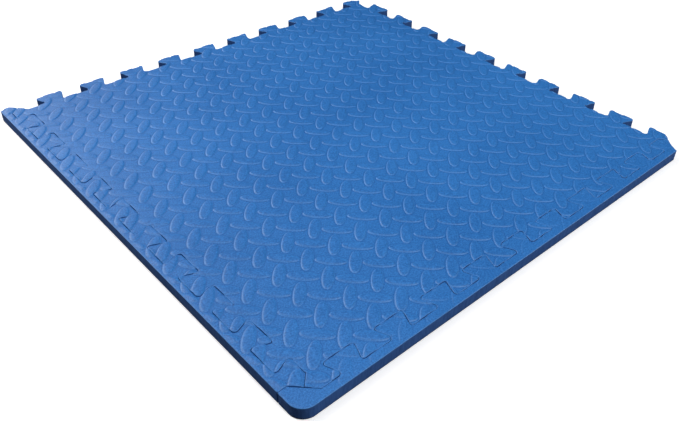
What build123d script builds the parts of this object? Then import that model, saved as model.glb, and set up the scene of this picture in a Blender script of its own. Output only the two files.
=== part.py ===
from build123d import *
import os
from math import sqrt

# An interlocking foam floor mat with two clip-on border strips.
#
# Frame: the mat lies flat. +Z is up, and the origin is the centre of the mat's
# underside, midway between its four corner points. The straight border closes
# the -X side, the border with the corner block closes the -Y side, and the
# toothed +X and +Y sides are open for the next mats.

# ---- driving dimensions, in millimetres ----
SIDE = 600.0            # from corner point to corner point, the step between laid mats
TEETH = 10              # teeth on each side
PITCH = SIDE / TEETH    # tooth pitch along a side
THICK = 15.5            # overall thickness, over the raised tread
TOOTH_DEPTH = 20.6      # from the teeth's tips to their roots
CRISP_LEAN = 7.8        # how far the crisp flank leans over between root and tip
SWEPT_LEAN = 8.6        # how far the swept flank leans over between root and tip
CRISP_R = 2.4           # radius on the crisp flank of each tooth, tip and root
SWEPT_R = 3.6           # radius on the swept flank of each tooth, tip and root
END_R = 1.2             # radius on the corner points and the borders' cut ends
SEAM = 0.4              # clearance between joined pieces
BORDER = 20.0           # from the corner points out to a border's plain edge
END_BACK = 5.0          # how far the outer corner of a border's free end is cut back
OUTER_R = 16.0          # radius of the border's corner block

half = SIDE / 2
tip = half + TOOTH_DEPTH / 2      # tip line, from the centre
root = half - TOOTH_DEPTH / 2     # root line, from the centre
rim = half + BORDER               # a border's plain edge, from the centre


def side_points():
    """One toothed side of the mat, along -Y, from the corner point at -X to just
    before the corner point at +X: (x, y, radius) at each turn of the outline.
    Each pitch is half tooth and half gap, and the outline is the same when it is
    turned half round, so any side of one mat fits any side of the next. The first
    tooth is cut off by the slant at the corner point."""
    pts = [(-half, -half, END_R), (-root, -tip, END_R)]
    for k in range(TEETH):
        crisp = -half + k * PITCH        # the crisp flank, at half depth
        swept = crisp + PITCH / 2        # the swept flank, at half depth
        if k:
            pts.append((crisp + CRISP_LEAN / 2, -root, CRISP_R))
            pts.append((crisp - CRISP_LEAN / 2, -tip, CRISP_R))
        pts.append((swept + SWEPT_LEAN / 2, -tip, SWEPT_R))
        pts.append((swept - SWEPT_LEAN / 2, -root, SWEPT_R))
    pts.append((root, -root, END_R))
    return pts


def quarter_turn(pts, times=1):
    """Turn points anticlockwise about the centre, 90 degrees at a time."""
    for _ in range(times % 4):
        pts = [(-y, x, r) for x, y, r in pts]
    return pts


def inset(pts, by):
    """Move a closed, anticlockwise outline inwards. The radii at its outward
    corners shrink and those at its inward corners grow, so the gap is even."""
    out = []
    n = len(pts)
    for i in range(n):
        (ax, ay, _), (bx, by_, r), (cx, cy, _) = pts[i - 1], pts[i], pts[(i + 1) % n]
        la, lc = sqrt((bx - ax) ** 2 + (by_ - ay) ** 2), sqrt((cx - bx) ** 2 + (cy - by_) ** 2)
        ux, uy = (bx - ax) / la, (by_ - ay) / la
        vx, vy = (cx - bx) / lc, (cy - by_) / lc
        turn = ux * vy - uy * vx            # positive at an outward corner
        cosine = ux * vx + uy * vy
        # the inward normals of both lines, and the point that lies `by` inside both
        nx, ny, mx, my = -uy, ux, -vy, vx
        k = by / (1 + cosine)
        new_r = r - by if turn > 0 else r + by
        out.append((bx + (nx + mx) * k, by_ + (ny + my) * k, max(new_r, 0.2)))
    return out


def sheet(pts):
    """A flat piece of the mat's thickness with this outline, its corners rounded."""
    bends = []
    n = len(pts)
    for i in range(n):
        (ax, ay, _), (bx, by, r), (cx, cy, _) = pts[i - 1], pts[i], pts[(i + 1) % n]
        before, at, after = Vector(ax, ay), Vector(bx, by), Vector(cx, cy)
        u, v = (before - at).normalized(), (after - at).normalized()
        cosine = u.dot(v)
        tangent = r * sqrt((1 + cosine) / (1 - cosine))      # corner to tangent point
        crown = r * (sqrt(2 / (1 - cosine)) - 1)             # corner to the arc's middle
        bends.append((at + u * tangent, at + (u + v).normalized() * crown, at + v * tangent))
    edges = []
    for i, (start, middle, end) in enumerate(bends):
        edges.append(Line(bends[i - 1][2], start))
        edges.append(ThreePointArc(start, middle, end))
    return extrude(make_face(Wire(edges)), THICK)


bottom = side_points()
right = quarter_turn(bottom, 1)
top = quarter_turn(bottom, 2)
left = quarter_turn(bottom, 3)

# ---- the mat: the same toothed side four times ----
mat = sheet(inset(bottom + right + top + left, SEAM / 2))

# ---- the straight border on the -X side ----
# Its inner edge is the mat's left side run backwards. At the top it ends in a
# half tooth that reaches past the mat's corner point, and at the bottom it meets
# the corner block along a short slant.
straight = [
    (-rim, tip - END_BACK, END_R),
    (-rim, -root, END_R),
    (-tip, -root, END_R),
    (-half, -half, END_R),
] + list(reversed(left[1:])) + [
    (-half, half, END_R),
    (-tip, tip, END_R),
]
border_straight = sheet(inset(straight, SEAM / 2))

# ---- the border on the -Y side, with the corner block at its -X end ----
# One straight slant closes off the mat's corner point and the straight border's end.
corner = [
    (-rim, -root, END_R),
    (-rim, -rim, OUTER_R),
    (root - END_BACK, -rim, END_R),
    (root, -tip, END_R),
    (half, -half, END_R),
] + list(reversed(bottom[1:])) + [
    (-tip, -root, END_R),
]
border_corner = sheet(inset(corner, SEAM / 2))

os.makedirs("parts", exist_ok=True)
for name, solid in (
    ("foam_mat_tile", mat),
    ("straight_edge_border", border_straight),
    ("corner_edge_border", border_corner),
):
    solid.label = name
    export_step(solid, f"parts/{name}.step")
    box = solid.bounding_box()
    print(name, round(solid.volume), [round(v, 2) for v in (*box.min, *box.max)])
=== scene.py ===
import math

import bpy
import numpy as np
from mathutils import Matrix, Vector
from mathutils.geometry import delaunay_2d_cdt


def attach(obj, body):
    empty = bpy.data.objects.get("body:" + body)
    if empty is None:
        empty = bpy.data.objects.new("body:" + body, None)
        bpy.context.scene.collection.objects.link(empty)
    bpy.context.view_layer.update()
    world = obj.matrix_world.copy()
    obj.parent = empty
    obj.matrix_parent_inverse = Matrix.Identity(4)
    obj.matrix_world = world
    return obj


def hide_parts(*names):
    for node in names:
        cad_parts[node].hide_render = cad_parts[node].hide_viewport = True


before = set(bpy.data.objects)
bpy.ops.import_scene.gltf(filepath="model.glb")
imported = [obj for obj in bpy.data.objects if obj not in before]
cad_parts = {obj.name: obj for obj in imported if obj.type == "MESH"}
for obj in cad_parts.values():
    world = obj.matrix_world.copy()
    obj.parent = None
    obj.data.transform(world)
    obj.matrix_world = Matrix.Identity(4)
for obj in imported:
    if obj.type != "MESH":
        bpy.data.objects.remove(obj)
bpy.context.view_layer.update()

# ---------------------------------------------------------------- dimensions, mm
SIDE, TEETH = 600.0, 10
PITCH = SIDE / TEETH
TOOTH_DEPTH = 20.6
CRISP_LEAN, SWEPT_LEAN = 7.8, 8.6
CRISP_R, SWEPT_R, END_R = 2.4, 3.6, 1.2
SEAM, BORDER, END_BACK, OUTER_R = 0.4, 20.0, 5.0, 16.0
FLAT = 14.4          # the face between the ridges
RIDGE = 1.08         # how far the tread stands above it
EDGE_R = 0.70        # rounding along the top edges
half = SIDE / 2
tip = half + TOOTH_DEPTH / 2
root = half - TOOTH_DEPTH / 2
rim = half + BORDER


# ---------------------------------------------------------------- outlines
def side_points():
    pts = [(-half, -half, END_R), (-root, -tip, END_R)]
    for k in range(TEETH):
        crisp = -half + k * PITCH
        swept = crisp + PITCH / 2
        if k:
            pts.append((crisp + CRISP_LEAN / 2, -root, CRISP_R))
            pts.append((crisp - CRISP_LEAN / 2, -tip, CRISP_R))
        pts.append((swept + SWEPT_LEAN / 2, -tip, SWEPT_R))
        pts.append((swept - SWEPT_LEAN / 2, -root, SWEPT_R))
    pts.append((root, -root, END_R))
    return pts


def quarter_turn(pts, times=1):
    for _ in range(times % 4):
        pts = [(-y, x, r) for x, y, r in pts]
    return pts


def inset(pts, by):
    out, n = [], len(pts)
    for i in range(n):
        (ax, ay, _), (bx, by_, r), (cx, cy, _) = pts[i - 1], pts[i], pts[(i + 1) % n]
        la, lc = math.hypot(bx - ax, by_ - ay), math.hypot(cx - bx, cy - by_)
        ux, uy, vx, vy = (bx - ax) / la, (by_ - ay) / la, (cx - bx) / lc, (cy - by_) / lc
        turn, k = ux * vy - uy * vx, by / (1 + ux * vx + uy * vy)
        out.append((bx + (-uy - vy) * k, by_ + (ux + vx) * k,
                    max(r - by if turn > 0 else r + by, 0.2)))
    return out


def trace(pts, counts=None, step=1.0):
    """Sample an outline. With counts from another inset of the same outline, the
    samples correspond one to one."""
    n, bends = len(pts), []
    for i in range(n):
        a, b, c = (np.array(p[:2]) for p in (pts[i - 1], pts[i], pts[(i + 1) % n]))
        r = pts[i][2]
        u, v = (a - b) / np.linalg.norm(a - b), (c - b) / np.linalg.norm(c - b)
        co = u @ v
        tangent = r * math.sqrt((1 + co) / (1 - co))
        centre = b + (u + v) / np.linalg.norm(u + v) * r * math.sqrt(2 / (1 - co))
        s, e = b + u * tangent, b + v * tangent
        a0 = math.atan2(*(s - centre)[::-1])
        da = (math.atan2(*(e - centre)[::-1]) - a0 + math.pi) % (2 * math.pi) - math.pi
        bends.append((s, centre, r, a0, da, e))
    made, out = counts or [], []
    for i, (s, centre, r, a0, da, e) in enumerate(bends):
        before = bends[i - 1][5]
        if counts is None:
            made.append((max(1, round(np.linalg.norm(s - before) / step)),
                         max(4, round(abs(da) * r / 0.55))))
        line, arc = made[i]
        for k in range(1, line):
            out.append(before + (s - before) * k / line)
        for k in range(arc + 1):
            th = a0 + da * k / arc
            out.append(centre + r * np.array([math.cos(th), math.sin(th)]))
    return np.array(out), made


bottom = side_points()
right, top, left = (quarter_turn(bottom, k) for k in (1, 2, 3))
MAT = bottom + right + top + left
STRAIGHT = ([(-rim, tip - END_BACK, END_R), (-rim, -root, END_R), (-tip, -root, END_R),
             (-half, -half, END_R)] + list(reversed(left[1:]))
            + [(-half, half, END_R), (-tip, tip, END_R)])
CORNER = ([(-rim, -root, END_R), (-rim, -rim, OUTER_R), (root - END_BACK, -rim, END_R),
           (root, -tip, END_R), (half, -half, END_R)] + list(reversed(bottom[1:]))
          + [(-tip, -root, END_R)])

# ---------------------------------------------------------------- the tread
A1, A2 = np.array([35.236, -0.526]), np.array([0.113, -33.166])
SLASH = dict(length=33.6, width=12.8, angle=math.radians(46))
BACK = dict(length=33.6, width=12.8, angle=math.radians(-46))
BACK_SHIFT = (A1 + A2) / 2
ROUND = 2.15         # a lozenge's outline is a superellipse with this exponent
SLOPE = 1.15         # how wide a lozenge's flank is
DOME = 0.40          # the share of its height that is spread over its whole width
RINGS = (-2.3, -1.3, -0.7, -0.25, 0.03, 0.42, 0.88, SLOPE, 2.5, 4.2)


# how far the mat's lozenges stand from an even lattice, mm: a cubic in x and y over 300 mm
DRIFT = np.array([[1.42, 2.57, 0.27, 0.09, -2.58, -6.08, -1.91, -1.55, -0.85, 2.57],
                  [-1.04, -2.6, 3.1, 1.87, 4.72, -1.32, 4.97, 3.17, 3.58, 0.31]])


def on_the_mat(c):
    x, y = np.clip(c, -250, 250) / 300
    return c + DRIFT @ np.array([1, x, y, x * x, x * y, y * y, x ** 3, x * x * y, x * y * y, y ** 3])


def as_laid_out(c):
    return c


def lozenges(origin, box, place):
    """(centre, shape) of every lozenge of a lattice that touches the box."""
    (x0, y0), (x1, y1) = box
    out = []
    for i in range(-25, 26):
        for j in range(-25, 26):
            base = np.array(origin) + i * A1 + j * A2
            for c, shape in ((place(base), SLASH), (place(base + BACK_SHIFT), BACK)):
                if x0 - 18 < c[0] < x1 + 18 and y0 - 18 < c[1] < y1 + 18:
                    out.append((c, shape))
    return out


def across(p, c, shape):
    """At points p of one lozenge: its height as a share of the ridge's, and how far inside
    the outline they are, mm."""
    ca, sa = math.cos(shape["angle"]), math.sin(shape["angle"])
    q = p - c
    a, b = shape["length"] / 2, shape["width"] / 2
    u, v = np.abs(q[:, 0] * ca + q[:, 1] * sa) / a, np.abs(-q[:, 0] * sa + q[:, 1] * ca) / b
    rho = np.maximum((u ** ROUND + v ** ROUND) ** (1 / ROUND), 1e-6)
    steep = np.hypot(u ** (ROUND - 1) / a, v ** (ROUND - 1) / b) * rho ** (1 - ROUND)
    d = (1 - rho) / np.maximum(steep, 1e-6)
    t = np.clip(d / SLOPE, 0, 1)
    rise = (1 - DOME) * t * t * (3 - 2 * t) + DOME * np.clip(1 - rho ** 2, 0, 1)
    return rise, d


def tread(p, found, fade):
    """At points p: the tread's height over the flat face, its painted light marks (a painted highlight, +, along a
    flank, and painted shade, -, in the crease outside it), and how far inside a lozenge they are."""
    z, depth = np.zeros(len(p)), np.full(len(p), -10.0)
    for c, shape in found:
        near = np.where((np.abs(p[:, 0] - c[0]) < 18) & (np.abs(p[:, 1] - c[1]) < 18))[0]
        if len(near):
            rise, d = across(p[near], c, shape)
            depth[near] = np.maximum(depth[near], d)
            z[near] = np.maximum(z[near], rise)
    # painted highlight along each lozenge's flank, and painted shade in the crease just outside it
    painted_highlight_shade = np.exp(-((depth - 0.55) / 0.55) ** 2) - 0.8 * np.exp(-((depth + 0.7) / 0.55) ** 2)
    return RIDGE * z * fade(p), painted_highlight_shade * fade(p), depth


def ring(c, shape, d, n=34):
    """A closed line that lies about d inside a lozenge's outline."""
    a, b = shape["length"] / 2 - d, shape["width"] / 2 - d
    th = 2 * np.pi * (np.arange(n) + 0.5 * (RINGS.index(d) % 2)) / n
    u = np.sign(np.cos(th)) * np.abs(np.cos(th)) ** (2 / ROUND) * a
    v = np.sign(np.sin(th)) * np.abs(np.sin(th)) ** (2 / ROUND) * b
    ca, sa = math.cos(shape["angle"]), math.sin(shape["angle"])
    return np.column_stack([c[0] + u * ca - v * sa, c[1] + u * sa + v * ca])


def inside(p, poly):
    out = np.zeros(len(p), bool)
    order = np.argsort(p[:, 1], kind="stable")
    ys = p[order, 1]
    a, b = poly, np.roll(poly, -1, 0)
    lo = np.searchsorted(ys, np.minimum(a[:, 1], b[:, 1]), "left")
    hi = np.searchsorted(ys, np.maximum(a[:, 1], b[:, 1]), "left")
    for (ax, ay), (bx, by), i, j in zip(a, b, lo, hi):
        if j > i:
            k = order[i:j]
            out[k] ^= p[k, 0] < (bx - ax) * (p[k, 1] - ay) / (by - ay) + ax
    return out


def no_fade(p):
    return np.ones(len(p))


def rim_fade(p):
    """A border's outer rim is plain."""
    d = np.minimum(rim + p[:, 0], rim + p[:, 1])
    t = np.clip((d - 2.0) / 3.5, 0, 1)
    return t * t * (3 - 2 * t)


def corner_fade(p):
    """The corner border's tread is shallow, and its corner block is plain."""
    t = np.clip((p[:, 0] + 289.0) / 6.0, 0, 1)
    return 0.45 * rim_fade(p) * t * t * (3 - 2 * t)


def fill(outline, extra, links):
    """Triangles inside a closed outline, with the links as edges. Returns the points,
    the triangles, and the outline's own points by their first number."""
    m = len(outline)
    ring_edges = [(i, (i + 1) % m) for i in range(m)]
    points = np.concatenate([outline, extra])
    result = delaunay_2d_cdt([Vector(p) for p in points], ring_edges + links, [], 0, 1e-5, True)
    xy = np.array([tuple(v) for v in result[0]])
    back = {}
    for i, source in enumerate(result[3]):
        for s in source:
            if s < m:
                back[s] = i
    tri = np.array([tuple(f) for f in result[2]])
    # what lies outside is reached from the hull without crossing the outline, so slivers
    # along its straight runs fall on the right side whatever the rounding
    size = np.int64(len(xy))

    def keys(a, b):
        return np.minimum(a, b).astype(np.int64) * size + np.maximum(a, b)

    loop = np.array([back[i] for i in range(m)])
    walls = np.unique(keys(loop, np.roll(loop, -1)))
    sides = np.concatenate([keys(tri[:, 0], tri[:, 1]), keys(tri[:, 1], tri[:, 2]), keys(tri[:, 2], tri[:, 0])])
    owner = np.tile(np.arange(len(tri)), 3)
    open_side = ~np.isin(sides, walls)
    order = np.argsort(sides, kind="stable")
    order = order[open_side[order]]
    sides, owner = sides[order], owner[order]
    same = np.flatnonzero(sides[1:] == sides[:-1])
    alone = np.ones(len(sides), bool)
    alone[same], alone[same + 1] = False, False
    neighbours = [[] for _ in range(len(tri))]
    for k in same:
        neighbours[owner[k]].append(owner[k + 1])
        neighbours[owner[k + 1]].append(owner[k])
    outside = np.zeros(len(tri), bool)
    stack = [int(v) for v in np.unique(owner[alone])]
    outside[stack] = True
    while stack:
        for v in neighbours[stack.pop()]:
            if not outside[v]:
                outside[v] = True
                stack.append(v)
    tri = tri[~outside]
    a, b, c = xy[tri[:, 0]], xy[tri[:, 1]], xy[tri[:, 2]]
    area = (b[:, 0] - a[:, 0]) * (c[:, 1] - a[:, 1]) - (b[:, 1] - a[:, 1]) * (c[:, 0] - a[:, 0])
    tri[area < 0] = tri[area < 0][:, ::-1]
    return xy, [tuple(int(v) for v in f) for f in tri], back


def must_be_closed(name, faces):
    """Every edge of a piece has exactly two faces, which run along it in opposite
    directions."""
    seen = {}
    for f in faces:
        for i in range(len(f)):
            a, b = f[i - 1], f[i]
            seen[(a, b)] = seen.get((a, b), 0) + 1
    bad = sum(1 for (a, b), n in seen.items() if n != 1 or seen.get((b, a)) != 1)
    if bad:
        raise RuntimeError(f"{name}: {bad} edges aren't closed")


# ---------------------------------------------------------------- one foam piece
def foam_piece(name, pts, origin, fade, place=as_laid_out):
    outline = inset(pts, SEAM / 2)
    base, counts = trace(outline)

    def loop(by):
        return trace(inset(outline, by), counts)[0] if by else base

    box = (base.min(0), base.max(0))
    found = lozenges(origin, box, place)
    edge = loop(EDGE_R)
    keep = trace(inset(outline, EDGE_R + 0.35), counts)[0]
    start = len(edge)
    chunks, links = [], []
    for c, shape in found:
        for d in RINGS:
            chunks.append(ring(c, shape, d))
    cloud = np.concatenate(chunks)
    # an outer ring gives way where another lozenge is nearer
    level = np.tile(np.repeat(RINGS, 34), len(found))
    ok = inside(cloud, keep) & ((level > -0.5) | (tread(cloud, found, fade)[2] < level + 0.5))
    index = np.full(len(cloud), -1)
    index[ok] = start + np.arange(ok.sum())
    n = 34
    for k in range(len(chunks)):
        ids = index[k * n:(k + 1) * n]
        for i in range(n):
            a, b = ids[i], ids[(i + 1) % n]
            if a >= 0 and b >= 0:
                links.append((int(a), int(b)))
    ends = np.array(links)
    points = np.concatenate([edge, cloud[ok]])
    whole = np.ones(len(ends), bool)       # a line that would cut across the outline is left out
    for s in (0.2, 0.4, 0.6, 0.8):
        whole &= inside(points[ends[:, 0]] * (1 - s) + points[ends[:, 1]] * s, keep)
    links = [tuple(int(v) for v in e) for e in ends[whole]]
    xy, top_faces, back = fill(edge, cloud[ok], links)
    ztop, painted_highlight_shade, _ = tread(xy, found, fade)
    ztop = ztop + FLAT
    painted_light_marks = [painted_highlight_shade]
    co = [np.column_stack([xy, ztop])]
    faces = list(top_faces)
    total = len(xy)
    rise = tread(base, found, fade)[0]

    # the rounded top edge, the cut side and the underside's edge, from the top down
    rows = []
    # rows on the rounded top edge carry a painted highlight (+1); the row at the edge's foot carries painted shade
    # (-1)
    for deg in (62, 35, 12):
        a = math.radians(deg)
        by = EDGE_R * (1 - math.cos(a))
        p = loop(by)
        rows.append((p, FLAT + tread(p, found, fade)[0] - EDGE_R * (1 - math.sin(a)), False, 1.0))
    rows.append((base, FLAT + rise - EDGE_R, False, -1.0))
    for z in (11.0, 7.2, 3.6, 0.3):
        rows.append((base, np.full(len(base), z), True, 0.0))
    rows.append((loop(0.3), np.zeros(len(base)), True, 0.0))
    m = len(base)
    upper = [back[i] for i in range(m)]
    side = []
    for p, z, cut, edge_light_paint in rows:
        ids = list(range(total, total + m))
        total += m
        co.append(np.column_stack([p, z]))
        painted_light_marks.append(np.full(m, edge_light_paint))
        for i in range(m):
            j = (i + 1) % m
            faces.append((ids[i], ids[j], upper[j], upper[i]))
            side.append(cut)
        upper = ids
    _, low_faces, low = fill(rows[-1][0], np.zeros((0, 2)), [])
    under = {v: k for k, v in low.items()}
    for f in low_faces:
        faces.append(tuple(upper[under[i]] for i in reversed(f)))
    co = np.concatenate(co) * 0.001
    must_be_closed(name, faces)

    mesh = bpy.data.meshes.new(name)
    mesh.from_pydata([tuple(v) for v in co], [], faces)
    mesh.update()
    slots = np.zeros(len(faces), np.int32)
    first = len(top_faces)
    slots[first:first + len(side)] = np.array(side, np.int32)
    slots[first + len(side):] = 2
    mesh.polygons.foreach_set("material_index", slots)
    mesh.polygons.foreach_set("use_smooth", np.ones(len(faces), bool))
    # the painted highlight and painted shade marks, which the skin's colour reads
    mesh.attributes.new("painted_highlight_shade", "FLOAT", "POINT").data.foreach_set("value", np.concatenate(painted_light_marks).astype(np.float32))
    obj = bpy.data.objects.new(name, mesh)
    bpy.context.scene.collection.objects.link(obj)
    return obj


# ---------------------------------------------------------------- materials
def nodes_of(name):
    m = bpy.data.materials.new(name)
    m.use_nodes = True
    t = m.node_tree
    return m, t, t.nodes["Principled BSDF"]


def new(t, kind, **values):
    n = t.nodes.new(kind)
    for k, v in values.items():
        if k in n.inputs:
            n.inputs[k].default_value = v
        else:
            setattr(n, k, v)
    return n


def noise(t, vector, scale, detail=3.0, rough=0.55):
    n = new(t, "ShaderNodeTexNoise")
    n.inputs["Scale"].default_value = scale
    n.inputs["Detail"].default_value = detail
    n.inputs["Roughness"].default_value = rough
    t.links.new(vector, n.inputs["Vector"])
    return n.outputs["Fac"]


def math_node(t, op, a, b=None):
    n = new(t, "ShaderNodeMath", operation=op)
    for i, v in enumerate((a, b)):
        if v is None:
            continue
        if isinstance(v, (int, float)):
            n.inputs[i].default_value = v
        else:
            t.links.new(v, n.inputs[i])
    return n.outputs[0]


def skin_material():
    """The moulded skin: blue, satin, with a fine woven grain."""
    m, t, bsdf = nodes_of("foam_skin")
    place = new(t, "ShaderNodeTexCoord").outputs["Object"]
    broad = noise(t, place, 5.0, 2.0)
    fine = noise(t, place, 620.0, 3.0, 0.7)
    # grain: two crossed fine waves, broken up by noise
    split = new(t, "ShaderNodeSeparateXYZ")
    t.links.new(place, split.inputs[0])
    wobble = math_node(t, "MULTIPLY", noise(t, place, 160.0, 2.0), 0.0011)
    total = math_node(t, "ADD", math_node(t, "ADD", split.outputs[0], split.outputs[1]), wobble)
    other = math_node(t, "ADD", math_node(t, "SUBTRACT", split.outputs[0], split.outputs[1]), wobble)
    wave_a = math_node(t, "SINE", math_node(t, "MULTIPLY", total, 2 * math.pi / 0.0021))
    wave_b = math_node(t, "SINE", math_node(t, "MULTIPLY", other, 2 * math.pi / 0.0021))
    weave = math_node(t, "MULTIPLY", wave_a, wave_b)
    ramp = new(t, "ShaderNodeValToRGB")
    ramp.color_ramp.elements[0].position = 0.36
    ramp.color_ramp.elements[0].color = (0.010, 0.103, 0.352, 1)
    ramp.color_ramp.elements[1].position = 0.64
    ramp.color_ramp.elements[1].color = (0.041, 0.222, 0.612, 1)
    mottle = math_node(t, "ADD", math_node(t, "MULTIPLY", broad, 0.2), math_node(t, "MULTIPLY", fine, 0.8))
    t.links.new(math_node(t, "ADD", mottle, math_node(t, "MULTIPLY", weave, 0.07)), ramp.inputs["Fac"])
    # painted highlight: the lozenges' flanks and the rounded top edges are paler; painted shade: the creases beside
    # the flanks and the foot of the rounded edge are darker
    painted_highlight_shade = new(t, "ShaderNodeAttribute", attribute_name="painted_highlight_shade").outputs["Fac"]
    painted_highlight = new(t, "ShaderNodeMix", data_type="RGBA")
    t.links.new(math_node(t, "MULTIPLY", math_node(t, "MAXIMUM", painted_highlight_shade, 0.0), 0.24), painted_highlight.inputs[0])
    t.links.new(ramp.outputs["Color"], painted_highlight.inputs[6])
    painted_highlight.inputs[7].default_value = (0.10, 0.33, 0.74, 1)
    # painted shade: the darker crease colour
    dark = new(t, "ShaderNodeMix", data_type="RGBA")
    t.links.new(math_node(t, "MULTIPLY", math_node(t, "MAXIMUM", math_node(t, "MULTIPLY", painted_highlight_shade, -1.0), 0.0), 0.42), dark.inputs[0])
    t.links.new(painted_highlight.outputs[2], dark.inputs[6])
    dark.inputs[7].default_value = (0.004, 0.060, 0.250, 1)
    t.links.new(dark.outputs[2], bsdf.inputs["Base Color"])
    grain = math_node(t, "ADD", math_node(t, "MULTIPLY", weave, 0.5),
                      math_node(t, "MULTIPLY", noise(t, place, 900.0, 3.0), 0.9))
    bump = new(t, "ShaderNodeBump")
    bump.inputs["Strength"].default_value = 0.5
    bump.inputs["Distance"].default_value = 0.00007
    t.links.new(grain, bump.inputs["Height"])
    t.links.new(bump.outputs["Normal"], bsdf.inputs["Normal"])
    rough = math_node(t, "ADD", math_node(t, "MULTIPLY", noise(t, place, 60.0, 3.0), 0.12), 0.40)
    t.links.new(rough, bsdf.inputs["Roughness"])
    bsdf.inputs["IOR"].default_value = 1.48
    return m


def cut_material(name, dark, light):
    """Die-cut closed-cell foam: matt and darker than the skin, with fine cells and cutting lines. On the cut sides
    the darker colour is partly painted shade.
    """
    m, t, bsdf = nodes_of(name)
    place = new(t, "ShaderNodeTexCoord").outputs["Object"]
    cells = new(t, "ShaderNodeTexVoronoi")
    cells.inputs["Scale"].default_value = 1500.0
    t.links.new(place, cells.inputs["Vector"])
    squeeze = new(t, "ShaderNodeMapping")
    squeeze.inputs["Scale"].default_value = (1.0, 1.0, 0.12)
    t.links.new(place, squeeze.inputs["Vector"])
    lines = noise(t, squeeze.outputs["Vector"], 420.0, 3.0)
    ramp = new(t, "ShaderNodeValToRGB")
    ramp.color_ramp.elements[0].position = 0.3
    ramp.color_ramp.elements[0].color = (*dark, 1)
    ramp.color_ramp.elements[1].position = 0.75
    ramp.color_ramp.elements[1].color = (*light, 1)
    t.links.new(lines, ramp.inputs["Fac"])
    t.links.new(ramp.outputs["Color"], bsdf.inputs["Base Color"])
    bump = new(t, "ShaderNodeBump")
    bump.inputs["Strength"].default_value = 0.5
    bump.inputs["Distance"].default_value = 0.00012
    t.links.new(math_node(t, "ADD", cells.outputs["Distance"], lines), bump.inputs["Height"])
    t.links.new(bump.outputs["Normal"], bsdf.inputs["Normal"])
    bsdf.inputs["Roughness"].default_value = 0.85
    bsdf.inputs["Specular IOR Level"].default_value = 0.12
    return m


skin = skin_material()
# the cut sides are darker than the skin partly for the cut foam's own tone and partly as painted shade for the
# shaded sides
cut = cut_material("foam_cut_side", (0.032, 0.090, 0.275), (0.052, 0.134, 0.382))
under = cut_material("foam_underside", (0.020, 0.100, 0.330), (0.030, 0.135, 0.420))

mat = foam_piece("foam_mat", MAT, (-231.9, 57.3), no_fade, on_the_mat)
straight = foam_piece("straight_border", STRAIGHT, (-305.2, 5.1), rim_fade)
corner = foam_piece("corner_border", CORNER, (17.3, -282.2), corner_fade)
for obj, body, node in ((mat, "mat", "foam_mat_tile"),
                        (straight, "straight_border", "straight_edge_border"),
                        (corner, "corner_border", "corner_edge_border")):
    for m in (skin, cut, under):
        obj.data.materials.append(m)
    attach(obj, body)
    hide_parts(node)

# ---------------------------------------------------------------- floor
mesh = bpy.data.meshes.new("floor")
mesh.from_pydata([(-8, -8, -0.0003), (8, -8, -0.0003), (8, 8, -0.0003), (-8, 8, -0.0003)], [], [(0, 1, 2, 3)])
floor = bpy.data.objects.new("floor", mesh)
bpy.context.scene.collection.objects.link(floor)
fm, ft, fb = nodes_of("pale_floor")
fb.inputs["Base Color"].default_value = (0.92, 0.92, 0.92, 1)
fb.inputs["Roughness"].default_value = 0.9
fb.inputs["Specular IOR Level"].default_value = 0.1
fb.inputs["Emission Color"].default_value = (1, 1, 1, 1)
fb.inputs["Emission Strength"].default_value = 0.35     # stays pale far from the lights
floor.data.materials.append(fm)
floor.visible_diffuse = False        # the cut sides are in shade: no light comes back off the floor

# ---------------------------------------------------------------- light
world = bpy.data.worlds.new("studio")
world.use_nodes = True
world.node_tree.nodes["Background"].inputs["Color"].default_value = (1, 1, 1, 1)
world.node_tree.nodes["Background"].inputs["Strength"].default_value = 0.9
bpy.context.scene.world = world
world.cycles_visibility.diffuse = False                  # a pale backdrop that lights nothing
world.cycles_visibility.glossy = False


def softbox(name, place, at, size, power, colour=(1, 1, 1)):
    data = bpy.data.lights.new(name, "AREA")
    data.shape, data.size, data.size_y = "RECTANGLE", size[0], size[1]
    data.energy, data.color = power, colour
    lamp = bpy.data.objects.new(name, data)
    bpy.context.scene.collection.objects.link(lamp)
    lamp.location = place
    lamp.rotation_euler = (Vector(at) - Vector(place)).to_track_quat("-Z", "Y").to_euler()
    return lamp


def around(name, azimuth, height, power, away=3.0):
    """A softbox aimed at the mat's middle."""
    a, h = math.radians(azimuth), math.radians(height)
    return softbox(name, (away * math.cos(h) * math.cos(a), away * math.cos(h) * math.sin(a), away * math.sin(h)),
                   (0, 0, 0), (1.3, 1.3), power)


around("back_high", 118, 50, 16, 2.0)
around("back_low_left", 112, 22, 26)
around("back_low", 90, 22, 11)
around("front_high", 270, 50, 40)
around("front_right_low", 315, 22, 24)
softbox("overhead", (0, 0, 2.6), (0, 0, 0), (1.3, 1.3), 10)
softbox("over_left", (-0.9, 0.3, 1.2), (0, 0, 0), (0.5, 0.5), 2)

# ---------------------------------------------------------------- camera
data = bpy.data.cameras.new("camera")
data.sensor_fit, data.sensor_width = "HORIZONTAL", 36.0
data.lens = 37.6913
data.shift_x = -0.05228
data.clip_start, data.clip_end = 0.02, 50
camera = bpy.data.objects.new("camera", data)
bpy.context.scene.collection.objects.link(camera)
turn = Matrix(((0.732472536, 0.396643161, -0.553315631),
               (-0.679942846, 0.466905218, -0.565400074),
               (0.034083883, 0.790363030, 0.611689929)))
camera.matrix_world = Matrix.Translation((-0.52470, -0.60464, 0.49242)) @ turn.to_4x4()
bpy.context.scene.camera = camera
bpy.context.scene.view_settings.view_transform = "Standard"
